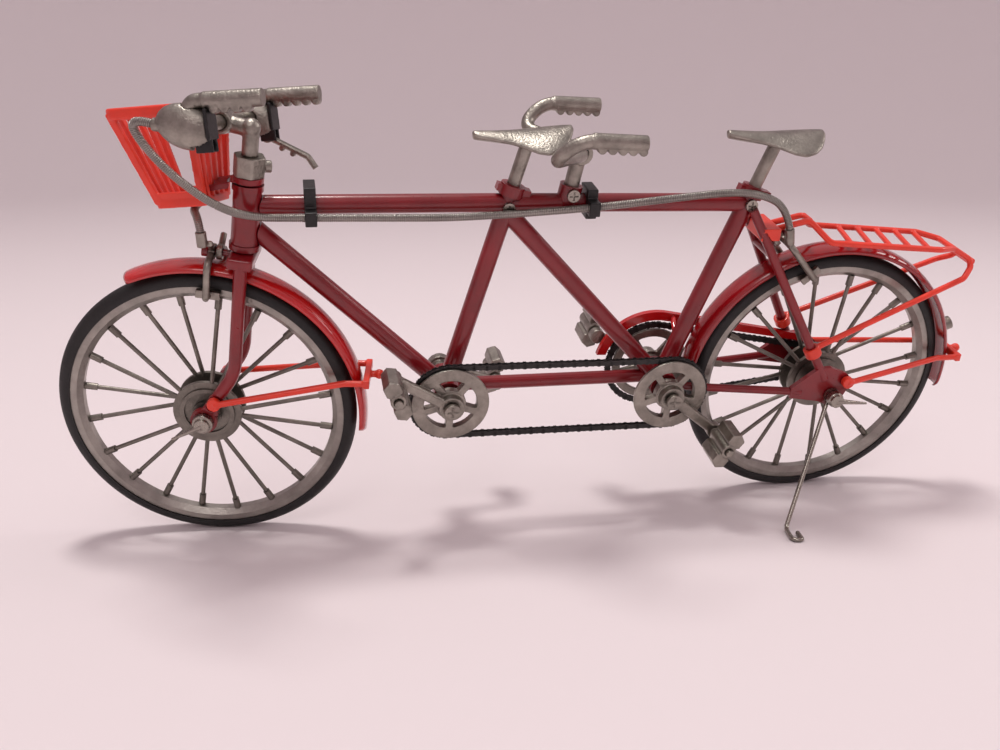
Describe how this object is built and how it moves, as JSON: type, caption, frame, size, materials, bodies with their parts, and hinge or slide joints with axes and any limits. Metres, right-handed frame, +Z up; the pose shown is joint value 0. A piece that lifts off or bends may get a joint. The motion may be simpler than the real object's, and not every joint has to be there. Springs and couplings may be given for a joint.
{
  "type": "tandem bicycle",
  "caption": "Miniature tandem bicycle with basket, rack, fenders, rim brakes and a fold-out stand, leaning on its stand.",
  "frame": {"origin": "centre of the bounding box's footprint, on the floor the wheels and stand rest on", "axes": "+X to the rear of the bicycle, -Y its left side and stand side, +Z up"},
  "size_m": [0.2258, 0.0582, 0.1053],
  "materials": {
    "frame_red": "deep gloss red lacquer",
    "fender_red": "gloss red",
    "bracket_red": "satin dark red",
    "orange_plastic": "orange-red moulded plastic",
    "pewter": "satin nickel on a casting",
    "steel": "bright drawn steel",
    "tyre": "black, lightly worn",
    "black_plastic": "black moulded",
    "cable": "coiled wire, grey"
  },
  "bodies": {
    "frame": {"head_tube": "frame_red", "top_tube_front": "frame_red", "top_tube_rear": "frame_red", "front_seat_tube": "frame_red", "rear_seat_tube": "frame_red", "down_tube": "frame_red", "diagonal_tube": "frame_red", "bottom_tube": "frame_red", "rear_triangle": "frame_red", "pinch_screws": "steel", "rear_fender": "fender_red", "rear_fender_stays": "orange_plastic", "tail_reflector": "pewter", "rear_rack": "orange_plastic", "rear_axle": "steel", "chain_guard": "fender_red", "timing_chain": "black_plastic", "drive_chain": "black_plastic", "rear_brake_cable": "cable", "cable_clips": "black_plastic", "stoker_stem": "pewter", "stoker_handlebar": "pewter"},
    "fork": {"fork": "frame_red", "front_axle": "steel", "front_fender": "fender_red", "front_fender_stays": "orange_plastic"},
    "cockpit": {"front_stem": "pewter", "stem_clamp": "pewter", "basket_bracket": "bracket_red", "basket": "orange_plastic", "front_handlebar": "pewter", "brake_hoods": "pewter", "lever_mounts": "black_plastic", "brake_cable_loops": "cable"},
    "front_wheel": {"front_tyre": "tyre", "front_rim": "pewter", "front_hub": "pewter"},
    "rear_wheel": {"rear_tyre": "tyre", "rear_rim": "pewter", "rear_hub": "pewter", "rear_sprocket": "pewter"},
    "front_crankset": {"front_crank_left": "pewter", "front_crank_right": "pewter"},
    "rear_crankset": {"rear_crank_left": "pewter", "rear_crank_right": "pewter"},
    "front_pedal_l": {"front_pedal_left": "pewter"},
    "front_pedal_r": {"front_pedal_right": "pewter"},
    "rear_pedal_l": {"rear_pedal_left": "pewter"},
    "rear_pedal_r": {"rear_pedal_right": "pewter"},
    "stand": {"kickstand": "steel"},
    "lever": {"brake_lever_right": "pewter"},
    "front_arm_l": {"front_caliper_left": "pewter"},
    "front_arm_r": {"front_caliper_right": "pewter"},
    "rear_arm_l": {"rear_caliper_left": "pewter"},
    "rear_arm_r": {"rear_caliper_right": "pewter"},
    "front_seat": {"front_seat_post": "pewter", "front_saddle": "pewter"},
    "rear_seat": {"rear_seat_post": "pewter", "rear_saddle": "pewter"}
  },
  "joints": [
    {"name": "steering", "type": "hinge", "parent": "frame", "child": "fork", "pos_m": [-0.06872, -0.0025, 0.07145], "axis": [0.1236, -0.2417, 0.9624], "range_deg": [-1, 19.6], "deforming": ["brake_cable_loops"]},
    {"name": "stem_turn", "type": "hinge", "parent": "fork", "child": "cockpit", "pos_m": [-0.06872, -0.0025, 0.07145], "axis": [0.1236, -0.2417, 0.9624], "range_deg": [-10, 30], "deforming": ["brake_cable_loops"]},
    {"name": "front_wheel_spin", "type": "hinge", "parent": "fork", "child": "front_wheel", "pos_m": [-0.07934, 0.00805, 0.03326], "axis": [0.1604, 0.962, 0.221], "continuous": true},
    {"name": "rear_wheel_spin", "type": "hinge", "parent": "frame", "child": "rear_wheel", "pos_m": [0.07188, 0.00715, 0.03305], "axis": [0, 0.9699, 0.2436], "continuous": true},
    {"name": "front_crank_spin", "type": "hinge", "parent": "frame", "child": "front_crankset", "pos_m": [-0.02432, 0.00654, 0.03547], "axis": [0, 0.9699, 0.2436], "continuous": true},
    {"name": "rear_crank_spin", "type": "hinge", "parent": "frame", "child": "rear_crankset", "pos_m": [0.02978, 0.00678, 0.0345], "axis": [0, 0.9699, 0.2436], "continuous": true},
    {"name": "front_pedal_l_spin", "type": "hinge", "parent": "front_crankset", "child": "front_pedal_l", "pos_m": [-0.03772, 0.0045, 0.04359], "axis": [0, 0.9699, 0.2436], "continuous": true},
    {"name": "front_pedal_r_spin", "type": "hinge", "parent": "front_crankset", "child": "front_pedal_r", "pos_m": [-0.00957, 0.00792, 0.02998], "axis": [0, 0.9699, 0.2436], "continuous": true},
    {"name": "rear_pedal_l_spin", "type": "hinge", "parent": "rear_crankset", "child": "rear_pedal_l", "pos_m": [0.04206, 0.00921, 0.02486], "axis": [0, 0.9699, 0.2436], "continuous": true},
    {"name": "rear_pedal_r_spin", "type": "hinge", "parent": "rear_crankset", "child": "rear_pedal_r", "pos_m": [0.01583, 0.00498, 0.0417], "axis": [0, 0.9699, 0.2436], "continuous": true},
    {"name": "stand_fold", "type": "hinge", "parent": "frame", "child": "stand", "pos_m": [0.07188, -0.00381, 0.03029], "axis": [0, 0.9699, 0.2436], "range_deg": [-100, 0]},
    {"name": "lever_pull", "type": "hinge", "parent": "cockpit", "child": "lever", "pos_m": [-0.06266, 0.00883, 0.09444], "axis": [-0.3331, -0.9428, -0.0168], "range_deg": [0, 25]},
    {"name": "front_brake_left", "type": "hinge", "parent": "fork", "child": "front_arm_l", "pos_m": [-0.07373, -0.00146, 0.07059], "axis": [0.9793, -0.127, -0.1577], "range_deg": [0, 2.5]},
    {"name": "front_brake_right", "type": "hinge", "parent": "fork", "child": "front_arm_r", "pos_m": [-0.07373, -0.00146, 0.07059], "axis": [0.9793, -0.127, -0.1577], "range_deg": [-2.5, 0]},
    {"name": "rear_brake_left", "type": "hinge", "parent": "frame", "child": "rear_arm_l", "pos_m": [0.05393, -0.002, 0.06949], "axis": [0.7507, -0.1609, 0.6407], "range_deg": [0, 1.4]},
    {"name": "rear_brake_right", "type": "hinge", "parent": "frame", "child": "rear_arm_r", "pos_m": [0.05393, -0.002, 0.06949], "axis": [0.7507, -0.1609, 0.6407], "range_deg": [-1.4, 0]},
    {"name": "front_seat_height", "type": "slide", "parent": "frame", "child": "front_seat", "axis": [0.2694, -0.2346, 0.934], "range_m": [0, 0.004]},
    {"name": "rear_seat_height", "type": "slide", "parent": "frame", "child": "rear_seat", "axis": [0.3225, -0.2306, 0.9181], "range_m": [-0.004, 0.004]}
  ],
  "couplings": [
    {"joint": "front_crank_spin", "follows": "rear_wheel_spin", "ratio": 0.3913},
    {"joint": "rear_crank_spin", "follows": "rear_wheel_spin", "ratio": 0.3913},
    {"joint": "front_brake_left", "follows": "lever_pull", "ratio": 0.1},
    {"joint": "front_brake_right", "follows": "lever_pull", "ratio": -0.1},
    {"joint": "rear_brake_right", "follows": "rear_brake_left", "ratio": -1}
  ]
}
